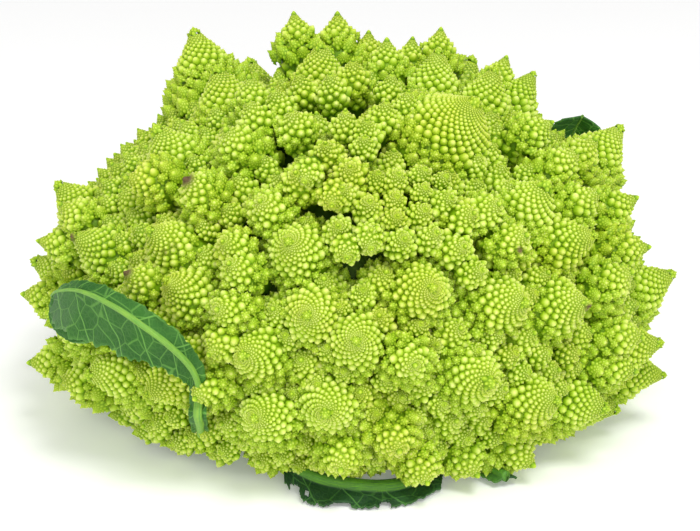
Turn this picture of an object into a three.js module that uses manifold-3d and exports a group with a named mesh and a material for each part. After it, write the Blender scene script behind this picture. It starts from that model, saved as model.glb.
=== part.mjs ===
// A romanesco head: a dome of spiralled conical florets on a cut stalk, with what is left of its leaves.
// Millimetres, +Z up, +Y away from the front. The origin is the middle of the stalk's cut face.
import * as THREE from "three";
import { ConvexHull } from "three/addons/math/ConvexHull.js";
import { mergeVertices } from "three/addons/utils/BufferGeometryUtils.js";
import Module from "manifold-3d";

const wasm = await Module();
wasm.setup();

// The florets fan out from the hub, at the top of the stalk, and their tips lie on this squat dome.
const HUB = new THREE.Vector3(0, 0, 22);
const DOME_CENTRE = new THREE.Vector3(0, 0, 40);
const DOME_RADII = new THREE.Vector3(104, 88, 80);
// The flesh that they grow out of, seen only at the bottom of the gaps.
const FLESH_RADII = new THREE.Vector3(74, 60, 55);
// The skin is one value of reach for each way out from this point.
const SKIN_CENTRE = new THREE.Vector3(0, 0, 30);
// The lowest that a floret reaches, and the shallow hollow underneath, which ends at the stalk.
const LOWEST = 0.5;
const HOLLOW_RIM = { radius: 56, height: 6 };
const HOLLOW_TOP = { radius: 25, height: 13 };

// The stalk, cut square below the head.
const STALK_RADIUS = 19;
const STALK_TOP_RADIUS = 23;
const STALK_FLARE = 0.5;
const STALK_SIDES = 24;

// Touching pieces keep this gap, and the curd leaves this much room round each leaf.
const GAP = 0.35;
const LEAF_ROOM = 1.2;

// The front is set out as it is seen by an eye that looks down a little: across and up are measured on a sheet
// through SHEET_CENTRE, square to the line of sight.
const SIGHT_TILT = THREE.MathUtils.degToRad(22);
const EYE_DISTANCE = 750;
const SHEET_CENTRE = new THREE.Vector3(0, 0, 47);
const SHEET_UP = new THREE.Vector3(0, Math.sin(SIGHT_TILT), Math.cos(SIGHT_TILT));
const TO_EYE = new THREE.Vector3(0, -Math.cos(SIGHT_TILT), Math.sin(SIGHT_TILT));
const EYE = SHEET_CENTRE.clone().addScaledVector(TO_EYE, EYE_DISTANCE);

// Knobs wind round each floret at the golden angle. A winding is named by the smaller of its two numbers of
// spirals, and its pitch, the rise from knob to knob in radii, packs the knobs evenly.
const GOLDEN_ANGLE = Math.PI * (3 - Math.sqrt(5));
const WINDINGS = {
  3: { other: 5, pitch: 0.13, bare: 0.36 },
  5: { other: 8, pitch: 0.054, bare: 0.3 },
  8: { other: 13, pitch: 0.021, bare: 0.16 },
};
// Florets of this girth and over wind by five, smaller ones by three.
const LARGE_GIRTH = 12;
// The height of an equal-sided triangle, as a share of its side.
const TRIANGLE_HEIGHT = Math.sqrt(3) / 2;
// A knob's height over the cone and the depth of the lows round it, in knob spacings, and its lean to the tip.
const KNOB_HEIGHT = 0.36;
const LOW_DEPTH = 0.1;
const KNOB_LEAN = 0.55;
// Depth below the tip goes with this power of the radius, so tips are blunt.
const BLUNTNESS = 1.15;
const SLENDERNESS = 1.5;

// The leading shoot leans to the right of the dome and to the front, and the other florets stand round it.
const LEADER = { across: 38.8, up: 50.6, lift: 4, rise: 52, heading: -34, girth: 17, length: 22, winding: 8 };

// The florets of the front: across and up of the tip, girth (the radius at the rim), and rise, the tilt of the
// axis above level in degrees.
const FRONT_FLORETS = [
  // the skyline, from the left
  [-105, -9, 9, 10],
  [-100, 8, 7, 15],
  [-94, 27, 15, 50],
  [-72, 28, 8, 20],
  [-50, 76, 16, 74],
  [-18, 81, 8, 74],
  [-4, 81, 9, 78],
  [6, 75, 8, 78],
  [20, 73, 7, 80],
  [29, 76, 8, 82],
  [50, 67, 8, 68],
  [59, 62, 10, 55],
  [65, 46, 7, 35],
  [87, 45, 14, 52],
  [92, 22, 8, 32],
  [96, 6, 8, 15],
  [104, -2, 14, 30],
  [101, -35, 10, 0],
  // the left shoulder
  [-40, 44, 9, 52],
  [-53, 28, 8, 45],
  [-65, 12, 13, 42],
  [-89, 10, 11, 35],
  [-72, -2, 7, 40],
  [-29, 21, 7, 40],
  [-41, 8, 6, 35],
  [-39, 1, 7, 35],
  // the slender ones behind the leader
  [-33, 53, 6, 62],
  [-25, 57, 5.5, 66],
  [-17.5, 63.5, 5.5, 70],
  [-6.5, 62, 5.5, 72],
  [-19, 50, 6, 62],
  [-1.5, 51, 5, 66],
  [1, 66, 6, 74],
  [14, 63.5, 5, 76],
  [19, 57, 5, 74],
  [12, 54, 5, 70],
  [5.5, 48.5, 5, 64],
  [-8, 40, 5.5, 55],
  [5, 43, 4.5, 58],
  [-17.5, 30, 6, 45],
  [0, 32, 5.5, 45],
  [-2.5, 25.4, 5, 42],
  // the rings that the leader has let go
  [9.5, 31.6, 3.8, 52],
  [16, 30.4, 4.4, 46],
  [24.4, 31.5, 3.7, 48],
  [31.8, 29.6, 3.5, 42],
  [15.6, 23.4, 3.6, 44],
  [24.6, 25.6, 3.4, 40],
  [33.2, 22.4, 4.9, 36],
  [6.6, 21.8, 5.4, 42],
  [15.8, 16.6, 4.2, 34],
  [25, 18.8, 4.4, 36],
  [40, 17, 6.2, 32],
  [37.6, 6.4, 5.6, 28],
  // the large ones that face the front
  [-20, 8, 12, 34],
  [-4, 13.6, 5.2, 36],
  [7, 12, 5.6, 34],
  [18, 9, 5.4, 31],
  [28.8, 11.4, 5.2, 35],
  [-14, -16, 13, 22],
  [27, -7, 13, 26],
  [2, -24, 13, 24],
  [-35, -29, 14, 16],
  [-43, -14, 8, 22],
  [-8, -48, 15, 8],
  [46, -38, 19, 10],
  [21, -32, 8, 14],
  // the right flank
  [73, 37, 9, 45],
  [80, 24, 8, 38],
  [79, 10, 10, 26],
  [57, 10, 8, 32],
  [48, 20, 7, 38],
  [57, -12, 13, 20],
  [77, -12, 13, 20],
  [44, -1, 5, 26],
  [94, -23, 8, 10],
  [92, -34, 9, 0],
  [83, -46, 14, 2],
  // the ones that hang to the surface
  [-85, -35, 15, 8],
  [-103, -31, 9, 2],
  [-66, -42, 10, -8],
  [-50, -43, 8, -6],
  [-3, -66, 9, -10],
  [16, -60, 9, -8],
  [25, -70, 8, -16],
  [41, -73, 9, -18],
  [59, -67, 9, -14],
  [78, -64, 12, -10],
  [86, -54, 13, -5],
];

// The leaves. Each is three curves, the rib and an edge to either side of it, with the rib's width and
// thickness from the tip to the foot. A point is [across, up, nearer]: on the dome as seen, then that much
// nearer to the eye.
const BLADE_THICKNESS = 0.8;
// Across each half, rows from the edge to the rib. Blades narrower than WAVED_WIDTH wave less, and none is
// narrower than LEAST_BLADE half ribs.
const BLADE_ROWS = [1, 0.55, 0];
const WAVED_WIDTH = 8;
const LEAST_BLADE = 1.5;
const LEAF_LEFT = {
  steps: 30,
  ribWidth: [0.8, 3.2],
  ribThickness: [1.2, 4],
  wave: 0.9,
  waves: 5,
  near: [
    [-93.5, -12.5, 1],
    [-94.5, -17, 5],
    [-88, -21.5, 9],
    [-77, -26, 10],
    [-67, -30, 9],
    [-58, -33, 3],
    [-52, -38, -4],
    [-51.5, -44, -8],
    [-51.5, -50, -8],
  ],
  rib: [
    [-94, -9.5, 5],
    [-91, -8, 9],
    [-84, -8, 12],
    [-74, -12.5, 13],
    [-65, -18.5, 12],
    [-56, -26, 6],
    [-50, -34, -2],
    [-48.5, -42, -7],
    [-48.5, -50, -7],
  ],
  far: [
    [-92, -7.5, 6],
    [-88, -5.5, 9],
    [-81, -5, 11],
    [-72, -8.5, 12],
    [-62, -14.5, 11],
    [-53, -22, 5],
    [-47, -32, -3],
    [-46, -42, -8],
    [-46, -50, -8],
  ],
};
// These lie in space: [x, y, z].
const LEAF_FRONT = {
  steps: 28,
  ribWidth: [2.4, 3.4],
  ribThickness: [3.6, 4.4],
  wave: 0.25,
  waves: 6,
  near: [
    [-19.5, -64.5, 2.6],
    [-15.5, -70.5, 1.1],
    [-9.5, -75, 0.9],
    [0, -76.3, 0.9],
    [9, -76.5, 0.9],
    [17, -74, 0.9],
    [27, -64, 1.2],
    [26, -45, 1.8],
    [11, -16.8, 3],
  ],
  rib: [
    [-20, -58, 6.5],
    [-15, -62, 5.4],
    [-8, -66, 4.3],
    [1, -68, 3.6],
    [9, -68.5, 3.2],
    [16, -66, 3],
    [22.5, -59, 3],
    [22, -44, 3.2],
    [8, -18.2, 4],
  ],
  far: [
    [-18, -55.2, 4.8],
    [-13.5, -57.5, 4],
    [-7, -61.5, 3],
    [1, -63.5, 2],
    [8, -64, 1.9],
    [14, -61.5, 1.8],
    [18.5, -56, 1.8],
    [18, -43, 2],
    [5, -19.4, 3],
  ],
};
const LEAF_BACK = {
  steps: 26,
  ribWidth: [0.8, 3.2],
  ribThickness: [1.2, 4.4],
  wave: 0.9,
  waves: 4,
  near: [
    [71, 57, 77],
    [64, 62, 71],
    [60, 69, 56],
    [59, 72, 38],
    [60, 69, 18],
    [56, 60, 6],
    [38, 41, 2.5],
    [11, 16.6, 3],
  ],
  rib: [
    [78, 57, 78],
    [76, 62, 71],
    [73, 68, 56],
    [71, 72, 38],
    [66, 70, 18],
    [58, 58, 6],
    [40, 39, 3.4],
    [14, 14, 4],
  ],
  far: [
    [84, 53, 75],
    [87, 54, 68],
    [85, 60, 54],
    [81, 65, 37],
    [73, 65, 18],
    [60, 55, 6],
    [42, 37, 2.5],
    [16.6, 11, 3],
  ],
};
const LEAF_STUB = {
  steps: 10,
  ribWidth: [2.4, 3],
  ribThickness: [3.6, 4.4],
  wave: 0,
  waves: 1,
  near: [
    [50.5, -60.5, 2.2],
    [45, -52.5, 1.8],
    [33.5, -35, 2],
    [18.4, -8, 3],
  ],
  rib: [
    [47, -62, 3.6],
    [41, -54, 3],
    [30, -37, 3.2],
    [16.5, -11, 4],
  ],
  far: [
    [43.5, -63, 2.2],
    [37.5, -55.5, 1.8],
    [27, -39, 2],
    [14.6, -13.8, 3],
  ],
};
// The left leaf's foot goes on under the head to the stalk, as [x, y, z].
const LEAF_LEFT_FOOT = {
  near: [
    [-44.4, -35.2, 3],
    [-17.2, -10.2, 3],
  ],
  rib: [
    [-42, -37, 4],
    [-15, -13, 4],
  ],
  far: [
    [-39.6, -38.8, 3],
    [-12, -16, 3],
  ],
};

// The rest is filled by rule: for each girth in turn, tips wherever the florets so far leave room.
const FILL_GIRTHS = [17, 13, 9];
const FILL_GIRTH_RANGE = [0.9, 1.1];
const FILL_TRIES = 420;
const FILL_CLOSENESS = 0.74;
const LOWEST_TIP = 10;
const FILL_UPLIFT = 10;
// The notches of the outline, as seen: across, up and radius. No floret that is filled in has its tip there.
const NOTCHES = [
  [-69, 53, 9],
  [-80, 34, 12],
  [70, 51, 9],
  [99, 17, 7],
  [-92, -45, 6],
  [-73, -59, 9],
  [-39, -60, 7],
  [-35, -63, 12],
  [-20, -70, 9],
  [-48, -63, 12],
  [-58, -61, 9],
];

// A floret's flesh goes on below its rim for this many of its lengths, and starts a little inside its knobs.
const FLESH_LENGTHS = 3;
const FLESH_SHARE = 0.97;
// A hanging floret's tip stays this share of its girth above the lowest level.
const TIP_CLEARANCE = 0.75;

// Creases are looked for down each flank from this share of the girth, in these steps.
const CREASE_FROM = 0.3;
const CREASE_STEP = 0.04;
const CREASES_ROUND = { large: 16, small: 10 };

// How near two points of the skin may be as seen from its centre, by kind.
const ROOM = { tip: 0.02, crease: 0.03, knob: 0.022, flesh: 0.06, hollow: 0.02, middle: 0.01 };
const ROOM_CELL = 0.04;
// A point is hidden by a floret that the line outward from it meets within this reach, in these steps.
const COVER = { first: 0.5, step: 2.5, reach: 40, lengths: 2.2, margin: 12 };
const FLESH_TRIES = 900;
const FLESH_DEPTH = 1.6;
// Points this close to the slope of the hollow's rim belong to the hollow.
const RIM_SHARE = 0.97;
// Thick branches stand out like ribs between the stalk and the florets.
const BRANCHES = 13;
const BRANCH_RELIEF = 1;
const HOLLOW_RINGS = [0, 0.35, 0.7, 1];

// Edges of the skin are swapped for ones that are shorter by this share.
const SWAP_PASSES = 12;
const SWAP_GAIN = 0.97;
const SLIVER = 1e-6;
const MERGE_DISTANCE = 1e-4;

const CURD_LOOK = { color: 0xa9cf4b, roughness: 0.55 };
const STALK_LOOK = { color: 0xc9d6a0, roughness: 0.6 };
const LEAF_LOOK = { color: 0x2f5e2b, roughness: 0.5 };

const toRadians = THREE.MathUtils.degToRad;

// The same numbers on every run.
function seededRandom(seed) {
  let state = seed >>> 0;
  return () => {
    state = (state + 0x6d2b79f5) >>> 0;
    let t = state;
    t = Math.imul(t ^ (t >>> 15), t | 1);
    t ^= t + Math.imul(t ^ (t >>> 7), t | 61);
    return ((t ^ (t >>> 14)) >>> 0) / 4294967296;
  };
}

// Where the line of sight through a point of the sheet first meets the dome, or comes nearest to it.
function seenOnDome(across, up) {
  const onSheet = SHEET_CENTRE.clone().addScaledVector(SHEET_UP, up);
  onSheet.x += across;
  const sight = onSheet.clone().sub(EYE).normalize();
  const from = EYE.clone().sub(DOME_CENTRE).divide(DOME_RADII);
  const along = sight.clone().divide(DOME_RADII);
  const a = along.dot(along);
  const b = from.dot(along);
  const room = Math.max(0, b * b - a * (from.dot(from) - 1));
  return EYE.clone().addScaledVector(sight, (-b - Math.sqrt(room)) / a);
}

// A direction with the given level heading and tilt above level.
function direction(x, y, tilt) {
  const level = Math.hypot(x, y) || 1;
  const c = Math.cos(tilt);
  return new THREE.Vector3((x / level) * c, (y / level) * c, Math.sin(tilt));
}

function axisFromHub(tip, uplift) {
  const out = tip.clone().sub(HUB).normalize();
  return direction(out.x, out.y, Math.min(Math.PI / 2, Math.asin(out.z) + toRadians(uplift)));
}

// Where a point is seen on the sheet.
function onSheet(point) {
  const from = point.clone().sub(SHEET_CENTRE);
  const nearness = from.dot(TO_EYE);
  const scale = EYE_DISTANCE / (EYE_DISTANCE - nearness);
  return new THREE.Vector2(from.x * scale, from.dot(SHEET_UP) * scale);
}

function inNotch(point) {
  const seen = onSheet(point);
  return NOTCHES.some(([across, up, radius]) => Math.hypot(seen.x - across, seen.y - up) < radius);
}

function frontFloret([across, up, girth, rise]) {
  const tip = seenOnDome(across, up);
  tip.z = Math.max(tip.z, LOWEST + girth * TIP_CLEARANCE);
  const out = tip.clone().sub(HUB);
  return { tip, girth, length: girth * SLENDERNESS, axis: direction(out.x, out.y, toRadians(rise)) };
}

function leaderFloret() {
  const heading = toRadians(LEADER.heading);
  const axis = direction(Math.cos(heading), Math.sin(heading), toRadians(LEADER.rise));
  const tip = seenOnDome(LEADER.across, LEADER.up).addScaledVector(axis, LEADER.lift);
  return { ...LEADER, tip, axis };
}

// Tips on the dome wherever there is room, tried at golden-angle steps from the top down.
function fillFlorets(taken) {
  const random = seededRandom(7);
  const added = [];
  for (const girth of FILL_GIRTHS) {
    for (let i = 0; i < FILL_TRIES; i += 1) {
      const height = 1 - (2 * (i + 0.5)) / FILL_TRIES;
      const level = Math.sqrt(1 - height * height);
      const angle = i * GOLDEN_ANGLE;
      const size = girth * THREE.MathUtils.lerp(...FILL_GIRTH_RANGE, random());
      const tip = new THREE.Vector3(level * Math.cos(angle), level * Math.sin(angle), height);
      tip.multiply(DOME_RADII).add(DOME_CENTRE);
      if (tip.z < LOWEST_TIP || inNotch(tip)) continue;
      const isClear = (f) => f.tip.distanceTo(tip) > FILL_CLOSENESS * (f.girth + size);
      if (![...taken, ...added].every(isClear)) continue;
      added.push({ tip, girth: size, length: size * SLENDERNESS, axis: axisFromHub(tip, FILL_UPLIFT) });
    }
  }
  return added;
}

function allFlorets() {
  const leader = leaderFloret();
  const front = FRONT_FLORETS.map(frontFloret);
  // The leader's flank has knobs of its own, so nothing is filled in there.
  const middle = leader.tip.clone().addScaledVector(leader.axis, -leader.length / 2);
  const flank = { tip: middle, girth: leader.girth };
  const random = seededRandom(21);
  const small = [...front, ...fillFlorets([...front, flank])].map((f) => ({
    ...f,
    winding: f.girth >= LARGE_GIRTH ? 5 : 3,
    hand: random() < 0.5 ? 1 : -1,
    turn: 2 * Math.PI * random(),
  }));
  return [{ ...leader, hand: 1, turn: 0 }, ...small];
}

// The radius of a floret's cone at a depth below its tip.
function coneRadius(floret, depth) {
  if (depth <= 0) return 0;
  return floret.girth * Math.min(1, Math.pow(depth / floret.length, 1 / BLUNTNESS));
}

function isInside(floret, point) {
  const from = point.clone().sub(floret.tip);
  const depth = -from.dot(floret.axis);
  if (depth <= 0 || depth > FLESH_LENGTHS * floret.length) return false;
  from.addScaledVector(floret.axis, depth);
  return from.length() < coneRadius(floret, depth) * FLESH_SHARE;
}

// A floret's knobs: the peaks, and the lows between each three of them.
function knobPoints(floret) {
  const { tip, axis, girth, length, winding, hand, turn } = floret;
  const near = winding;
  const { other: far, pitch, bare } = WINDINGS[winding];
  const lean = length / girth;
  const growth = pitch / Math.hypot(1, lean);
  const count = Math.round(-Math.log(bare) / growth);
  const side = new THREE.Vector3(0, 0, 1).cross(axis).normalize();
  const third = axis.clone().cross(side);
  const spread = Math.sqrt((2 * Math.PI * pitch) / TRIANGLE_HEIGHT);

  const share = (n) => bare * Math.exp(n * growth);
  const outward = (n) => {
    const angle = hand * n * GOLDEN_ANGLE + turn;
    return side.clone().multiplyScalar(Math.cos(angle)).addScaledVector(third, Math.sin(angle));
  };
  const onCone = (n) =>
    tip
      .clone()
      .addScaledVector(axis, -length * Math.pow(share(n), BLUNTNESS))
      .addScaledVector(outward(n), girth * share(n));
  const facing = (n) => outward(n).multiplyScalar(lean).add(axis).normalize();

  const points = [];
  for (let n = 0; n < count; n += 1) {
    const spacing = girth * share(n) * spread;
    const way = facing(n).addScaledVector(axis, KNOB_LEAN).normalize();
    points.push({ base: onCone(n), at: onCone(n).addScaledVector(way, spacing * KNOB_HEIGHT), peak: true });
    for (const middle of [n + near, n + far]) {
      const base = onCone(n).add(onCone(middle)).add(onCone(n + near + far)).divideScalar(3);
      const at = base.clone().addScaledVector(facing(middle), -spacing * LOW_DEPTH);
      points.push({ base, at, peak: false });
    }
  }
  return points;
}

// Round each floret, where its cone runs into its neighbours.
function creasePoints(floret, covered) {
  const { tip, axis, girth, length } = floret;
  const side = new THREE.Vector3(0, 0, 1).cross(axis).normalize();
  const third = axis.clone().cross(side);
  const around = girth >= LARGE_GIRTH ? CREASES_ROUND.large : CREASES_ROUND.small;
  const points = [];
  for (let i = 0; i < around; i += 1) {
    const angle = (2 * Math.PI * i) / around;
    const outward = side.clone().multiplyScalar(Math.cos(angle)).addScaledVector(third, Math.sin(angle));
    const onFlank = (share) =>
      tip
        .clone()
        .addScaledVector(axis, -length * Math.pow(share, BLUNTNESS))
        .addScaledVector(outward, girth * share);
    let share = CREASE_FROM;
    while (share < 1 && !covered(onFlank(share), floret)) share += CREASE_STEP;
    if (share > CREASE_FROM && share < 1) points.push(onFlank(share));
  }
  return points;
}

// The outermost of the points along each line from the hub, with what fills the gaps and the hollow
// underneath.
function skinPoints(florets) {
  const kept = [];
  const grid = new Map();
  const cellOf = (way, dx = 0, dy = 0, dz = 0) => {
    const [x, y, z] = way.toArray().map((value) => Math.floor(value / ROOM_CELL));
    return [x + dx, y + dy, z + dz].join();
  };
  const keep = (at, room, base = at) => {
    const way = at.clone().sub(SKIN_CENTRE).normalize();
    for (let dx = -1; dx <= 1; dx += 1) {
      for (let dy = -1; dy <= 1; dy += 1) {
        for (let dz = -1; dz <= 1; dz += 1) {
          const others = grid.get(cellOf(way, dx, dy, dz)) || [];
          if (others.some((o) => o.way.distanceTo(way) < room)) return;
        }
      }
    }
    const point = { at, way, base };
    const key = cellOf(way);
    grid.set(key, [...(grid.get(key) || []), point]);
    kept.push(point);
  };
  const covered = (at, own) => {
    const way = at.clone().sub(SKIN_CENTRE);
    const reach = way.length();
    way.divideScalar(reach);
    for (const floret of florets) {
      const near = COVER.lengths * floret.length + COVER.margin;
      if (floret === own || floret.tip.distanceTo(at) > near) continue;
      for (let further = COVER.first; further < COVER.reach; further += COVER.step) {
        if (isInside(floret, at.clone().addScaledVector(way, further))) return true;
      }
    }
    return false;
  };
  const underneath = (at) => {
    const steepness = (SKIN_CENTRE.z - HOLLOW_RIM.height) / HOLLOW_RIM.radius;
    return at.z < LOWEST || (SKIN_CENTRE.z - at.z) / Math.hypot(at.x, at.y) > RIM_SHARE * steepness;
  };
  const candidates = florets.flatMap((floret) => knobPoints(floret).map((p) => ({ ...p, floret })));
  for (const floret of florets) {
    if (!underneath(floret.tip) && !covered(floret.tip, floret)) keep(floret.tip, ROOM.tip);
  }
  for (const floret of florets.slice(1)) {
    for (const at of creasePoints(floret, covered)) {
      if (!underneath(at)) keep(at, ROOM.crease);
    }
  }
  for (const peaks of [true, false]) {
    for (const { at, base, peak, floret } of candidates) {
      if (peaks === peak && !underneath(at) && !covered(base, floret)) keep(at, ROOM.knob, base);
    }
  }
  for (let i = 0; i < FLESH_TRIES; i += 1) {
    const height = 1 - (FLESH_DEPTH * (i + 0.5)) / FLESH_TRIES;
    const level = Math.sqrt(1 - height * height);
    const angle = i * GOLDEN_ANGLE;
    const at = new THREE.Vector3(level * Math.cos(angle), level * Math.sin(angle), height);
    at.multiply(FLESH_RADII).add(DOME_CENTRE);
    if (!underneath(at) && !covered(at, null)) keep(at, ROOM.flesh);
  }
  for (const share of HOLLOW_RINGS) {
    for (let i = 0; i < 2 * BRANCHES; i += 1) {
      const angle = (Math.PI * i) / BRANCHES;
      const radius = THREE.MathUtils.lerp(HOLLOW_TOP.radius, HOLLOW_RIM.radius, share);
      const relief = share > 0 ? BRANCH_RELIEF * (i % 2 ? -1 : 1) : 0;
      const height = THREE.MathUtils.lerp(HOLLOW_TOP.height, HOLLOW_RIM.height, share) + relief;
      keep(new THREE.Vector3(radius * Math.cos(angle), radius * Math.sin(angle), height), ROOM.hollow);
    }
  }
  keep(new THREE.Vector3(0, 0, HOLLOW_TOP.height), ROOM.middle);
  return kept;
}

// One closed skin over all the points: neighbours as seen from its centre, then edges swapped for
// shorter ones.
function knit(points) {
  const byWay = new Map(points.map((p, i) => [p.way, i]));
  const hull = new ConvexHull().setFromPoints(points.map((p) => p.way));
  const triangles = hull.faces.map((face) => {
    const corners = [];
    let edge = face.edge;
    do {
      corners.push(byWay.get(edge.head().point));
      edge = edge.next;
    } while (edge !== face.edge);
    return corners;
  });
  const facesOut = (a, b, c) => points[a].way.clone().cross(points[b].way).dot(points[c].way) > SLIVER;
  const apart = (a, b) => points[a].base.distanceTo(points[b].base);
  const owner = new Map();
  const claim = (t) => {
    triangles[t].forEach((from, i) => owner.set(from + "," + triangles[t][(i + 1) % 3], t));
  };
  triangles.forEach((_, t) => claim(t));
  for (let pass = 0; pass < SWAP_PASSES; pass += 1) {
    let swaps = 0;
    for (const key of [...owner.keys()]) {
      const [a, b] = key.split(",").map(Number);
      if (a > b || !owner.has(key)) continue;
      const left = owner.get(key);
      const right = owner.get(b + "," + a);
      const c = triangles[left].find((v) => v !== a && v !== b);
      const d = triangles[right].find((v) => v !== a && v !== b);
      if (apart(c, d) > SWAP_GAIN * apart(a, b)) continue;
      if (owner.has(c + "," + d) || owner.has(d + "," + c)) continue;
      if (!facesOut(a, d, c) || !facesOut(d, b, c)) continue;
      owner.delete(a + "," + b);
      owner.delete(b + "," + a);
      triangles[left] = [a, d, c];
      triangles[right] = [d, b, c];
      claim(left);
      claim(right);
      swaps += 1;
    }
    if (!swaps) break;
  }
  return solidOf(points.flatMap((p) => p.at.toArray()), triangles.flat());
}

function solidOf(positions, triangles) {
  const geometry = new THREE.BufferGeometry();
  geometry.setAttribute("position", new THREE.Float32BufferAttribute(positions, 3));
  geometry.setIndex(triangles);
  return solidOfGeometry(geometry);
}

function solidOfGeometry(geometry) {
  const bare = new THREE.BufferGeometry();
  bare.setAttribute("position", geometry.getAttribute("position"));
  if (geometry.index) bare.setIndex(geometry.index);
  const merged = mergeVertices(bare, MERGE_DISTANCE);
  const triVerts = new Uint32Array(merged.index.array);
  const vertProperties = new Float32Array(merged.attributes.position.array);
  return new wasm.Manifold(new wasm.Mesh({ numProp: 3, vertProperties, triVerts }));
}

function geometryOf(solid) {
  const mesh = solid.getMesh();
  const geometry = new THREE.BufferGeometry();
  geometry.setAttribute("position", new THREE.Float32BufferAttribute(mesh.vertProperties, mesh.numProp));
  geometry.setIndex(new THREE.BufferAttribute(mesh.triVerts, 1));
  geometry.computeVertexNormals();
  return geometry;
}

// A thin blade with a rib along the middle. spare makes it that much fatter all round.
function blade({ steps, ribWidth, ribThickness, wave, waves, near, rib, far }, spare = 0) {
  const curve = (list) => new THREE.CatmullRomCurve3(list);
  const curves = [near, rib, far].map(curve);
  const rows = [];
  for (let i = 0; i <= steps; i += 1) {
    const u = i / steps;
    const [a, middle, b] = curves.map((c) => c.getPoint(u));
    const halfWidth = THREE.MathUtils.lerp(ribWidth[0], ribWidth[1], u) / 2;
    const thick = THREE.MathUtils.lerp(ribThickness[0], ribThickness[1], u);
    const along = curves[1].getTangent(u);
    const beyond = spare * ((i === steps) - (i === 0));
    for (const point of [a, middle, b]) point.addScaledVector(along, beyond);
    const row = [];
    for (const edge of [a, b]) {
      const out = edge.clone().sub(middle);
      const width = Math.max(out.length(), halfWidth * LEAST_BLADE) + spare;
      out.normalize();
      const up = out.clone().cross(along).normalize();
      const ripple = wave * Math.sin(2 * Math.PI * waves * u) * Math.min(1, width / WAVED_WIDTH);
      const side = BLADE_ROWS.map((share) => {
        const at = middle.clone().addScaledVector(out, THREE.MathUtils.lerp(halfWidth, width, share));
        return { at: at.addScaledVector(up, ripple * share), thick: BLADE_THICKNESS };
      });
      row.push(...(edge === a ? side : side.reverse()));
    }
    row.splice(3, 0, { at: middle, thick });
    rows.push(row);
  }
  const columns = rows[0].length;
  const positions = [];
  rows.forEach((row, i) => {
    row.forEach(({ at, thick }, j) => {
      const before = rows[Math.max(i - 1, 0)][j].at;
      const after = rows[Math.min(i + 1, steps)][j].at;
      const left = row[Math.max(j - 1, 0)].at;
      const right = row[Math.min(j + 1, columns - 1)].at;
      const normal = after.clone().sub(before).cross(right.clone().sub(left)).normalize();
      const half = thick / 2 + spare;
      positions.push(...at.clone().addScaledVector(normal, half).toArray());
      positions.push(...at.clone().addScaledVector(normal, -half).toArray());
    });
  });
  const index = (i, j, face) => 2 * (i * columns + j) + face;
  const triangles = [];
  const quad = (a, b, c, d) => triangles.push(a, b, c, a, c, d);
  for (let i = 0; i < steps; i += 1) {
    for (let j = 0; j < columns - 1; j += 1) {
      quad(index(i, j, 0), index(i + 1, j, 0), index(i + 1, j + 1, 0), index(i, j + 1, 0));
      const [a, b, c, d] = [index(i, j, 1), index(i + 1, j, 1), index(i + 1, j + 1, 1), index(i, j + 1, 1)];
      triangles.push(a, c, b, a, d, c);
    }
    const last = columns - 1;
    quad(index(i, 0, 1), index(i + 1, 0, 1), index(i + 1, 0, 0), index(i, 0, 0));
    quad(index(i, last, 0), index(i + 1, last, 0), index(i + 1, last, 1), index(i, last, 1));
  }
  for (let j = 0; j < columns - 1; j += 1) {
    quad(index(0, j, 0), index(0, j + 1, 0), index(0, j + 1, 1), index(0, j, 1));
    quad(index(steps, j, 1), index(steps, j + 1, 1), index(steps, j + 1, 0), index(steps, j, 0));
  }
  return solidOf(positions, triangles);
}

function leafShapes() {
  const inSpace = (list) => list.map((p) => new THREE.Vector3(...p));
  const seen = ([across, up, nearer]) => seenOnDome(across, up).addScaledVector(TO_EYE, nearer);
  const lying = (leaf) => {
    const { near, rib, far } = leaf;
    return { ...leaf, near: inSpace(near), rib: inSpace(rib), far: inSpace(far) };
  };
  const left = { ...LEAF_LEFT };
  for (const line of ["near", "rib", "far"]) {
    left[line] = [...LEAF_LEFT[line].map(seen), ...inSpace(LEAF_LEFT_FOOT[line])];
  }
  return {
    leaf_left: left,
    leaf_front: lying(LEAF_FRONT),
    leaf_back: lying(LEAF_BACK),
    leaf_stub: lying(LEAF_STUB),
  };
}

function curd(leaves) {
  let made = knit(skinPoints(allFlorets()));
  for (const leaf of Object.values(leaves)) made = made.subtract(blade(leaf, LEAF_ROOM));
  // What the leaves' room cuts loose is dropped.
  return made.decompose().sort((a, b) => b.volume() - a.volume())[0];
}

function stalk() {
  const top = HOLLOW_TOP.height - GAP;
  const profile = [
    [0, 0],
    [STALK_RADIUS, 0],
    [STALK_RADIUS, top * STALK_FLARE],
    [STALK_TOP_RADIUS, top],
    [0, top],
  ].map(([x, y]) => new THREE.Vector2(x, y));
  const turned = new THREE.LatheGeometry(profile, STALK_SIDES);
  turned.rotateX(Math.PI / 2);
  return solidOfGeometry(turned);
}

function mesh(name, solid, look) {
  const material = new THREE.MeshStandardMaterial({ ...look, metalness: 0 });
  const made = new THREE.Mesh(geometryOf(solid), material);
  made.name = name;
  return made;
}

const leaves = leafShapes();
const head = new THREE.Group();
head.add(mesh("curd", curd(leaves), CURD_LOOK));
head.add(mesh("stalk", stalk(), STALK_LOOK));
for (const [name, leaf] of Object.entries(leaves)) {
  head.add(mesh(name, blade(leaf), LEAF_LOOK));
}
export default head;
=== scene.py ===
# The look of the romanesco head: every floret is a cone of smaller cones, and each of those is covered
# in knobs.
import math

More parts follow.
